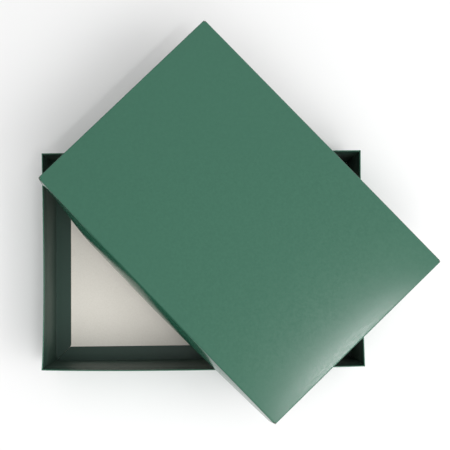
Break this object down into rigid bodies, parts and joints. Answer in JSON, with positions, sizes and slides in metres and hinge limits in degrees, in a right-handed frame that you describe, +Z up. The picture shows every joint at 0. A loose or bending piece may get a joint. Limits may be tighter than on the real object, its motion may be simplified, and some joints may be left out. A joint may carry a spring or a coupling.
{
  "type": "gift box",
  "caption": "Rectangular folding-card gift box: a shallow tray with rolled-over walls and floor flaps, and a loose lid of the same make lying turned across its rim.",
  "frame": {"origin": "centre of the tray's underside, on the surface it stands on", "axes": "+Z up, +X along the tray's long side, -Y towards the viewer; the lid lies turned by 46.57 degrees clockwise seen from above"},
  "size_m": [0.3707, 0.3729, 0.1013],
  "materials": {
    "printed_card": "green laminated card, satin gloss",
    "rolled_card": "the same green laminated card where it is rolled inside, in shade",
    "plain_card": "unprinted grey-white reverse of the card, matt"
  },
  "bodies": {
    "base": {"base_floor": "plain_card", "base_wall_front": "printed_card", "base_wall_right": "printed_card", "base_wall_back": "printed_card", "base_wall_left": "printed_card", "base_liner_front": "rolled_card", "base_liner_back": "rolled_card", "base_tab_front_left": "rolled_card", "base_tab_front_right": "rolled_card", "base_tab_back_right": "rolled_card", "base_tab_back_left": "rolled_card"},
    "base_left_liner": {"base_liner_left": "rolled_card"},
    "base_right_liner": {"base_liner_right": "rolled_card"},
    "base_front_flap": {"base_flap_front": "rolled_card"},
    "base_right_flap": {"base_flap_right": "rolled_card"},
    "base_back_flap": {"base_flap_back": "rolled_card"},
    "base_left_flap": {"base_flap_left": "rolled_card"},
    "lid": {"lid_top": "printed_card", "lid_wall_back_right": "printed_card", "lid_wall_front_right": "printed_card", "lid_wall_front_left": "printed_card", "lid_wall_back_left": "printed_card", "lid_liner_back_right": "rolled_card", "lid_liner_front_left": "rolled_card", "lid_tab_back": "rolled_card", "lid_tab_right": "rolled_card", "lid_tab_front": "rolled_card", "lid_tab_left": "rolled_card"},
    "lid_front_right_liner": {"lid_liner_front_right": "rolled_card"},
    "lid_back_left_liner": {"lid_liner_back_left": "rolled_card"},
    "lid_back_right_flap": {"lid_flap_back_right": "rolled_card"},
    "lid_front_right_flap": {"lid_flap_front_right": "rolled_card"},
    "lid_front_left_flap": {"lid_flap_front_left": "rolled_card"},
    "lid_back_left_flap": {"lid_flap_back_left": "rolled_card"}
  },
  "joints": [
    {"name": "lid_lift", "type": "slide", "parent": "base", "child": "lid", "axis": [0, 0, 1], "range_m": [0, 0.15]},
    {"name": "base_front_flap_crease", "type": "hinge", "parent": "base", "child": "base_front_flap", "pos_m": [0, -0.09975, 0.00105], "axis": [1, 0, 0], "range_deg": [0, 85]},
    {"name": "base_right_liner_crease", "type": "hinge", "parent": "base", "child": "base_right_liner", "pos_m": [0.15005, 0, 0.06335], "axis": [0, 1, 0], "range_deg": [0, 70]},
    {"name": "base_right_flap_crease", "type": "hinge", "parent": "base_right_liner", "child": "base_right_flap", "pos_m": [0.14925, 0, 0.00185], "axis": [0, 1, 0], "range_deg": [0, 85]},
    {"name": "base_back_flap_crease", "type": "hinge", "parent": "base", "child": "base_back_flap", "pos_m": [0, 0.09975, 0.00105], "axis": [-1, 0, 0], "range_deg": [0, 85]},
    {"name": "base_left_liner_crease", "type": "hinge", "parent": "base", "child": "base_left_liner", "pos_m": [-0.15005, 0, 0.06335], "axis": [0, -1, 0], "range_deg": [0, 70]},
    {"name": "base_left_flap_crease", "type": "hinge", "parent": "base_left_liner", "child": "base_left_flap", "pos_m": [-0.14925, 0, 0.00185], "axis": [0, -1, 0], "range_deg": [0, 85]},
    {"name": "lid_back_right_flap_crease", "type": "hinge", "parent": "lid", "child": "lid_back_right_flap", "pos_m": [0.10937, 0.1054, 0.10025], "axis": [0.6875, -0.7262, 0], "range_deg": [0, 85]},
    {"name": "lid_front_right_liner_crease", "type": "hinge", "parent": "lid", "child": "lid_front_right_liner", "pos_m": [0.13997, -0.07639, 0.06695], "axis": [-0.7262, -0.6875, 0], "range_deg": [0, 55]},
    {"name": "lid_front_right_flap_crease", "type": "hinge", "parent": "lid_front_right_liner", "child": "lid_front_right_flap", "pos_m": [0.13942, -0.07581, 0.09945], "axis": [-0.7262, -0.6875, 0], "range_deg": [0, 85]},
    {"name": "lid_front_left_flap_crease", "type": "hinge", "parent": "lid", "child": "lid_front_left_flap", "pos_m": [-0.03987, -0.03588, 0.10025], "axis": [-0.6875, 0.7262, 0], "range_deg": [0, 85]},
    {"name": "lid_back_left_liner_crease", "type": "hinge", "parent": "lid", "child": "lid_back_left_liner", "pos_m": [-0.07047, 0.14591, 0.06695], "axis": [0.7262, 0.6875, 0], "range_deg": [0, 55]},
    {"name": "lid_back_left_flap_crease", "type": "hinge", "parent": "lid_back_left_liner", "child": "lid_back_left_flap", "pos_m": [-0.06992, 0.14533, 0.09945], "axis": [0.7262, 0.6875, 0], "range_deg": [0, 85]}
  ]
}
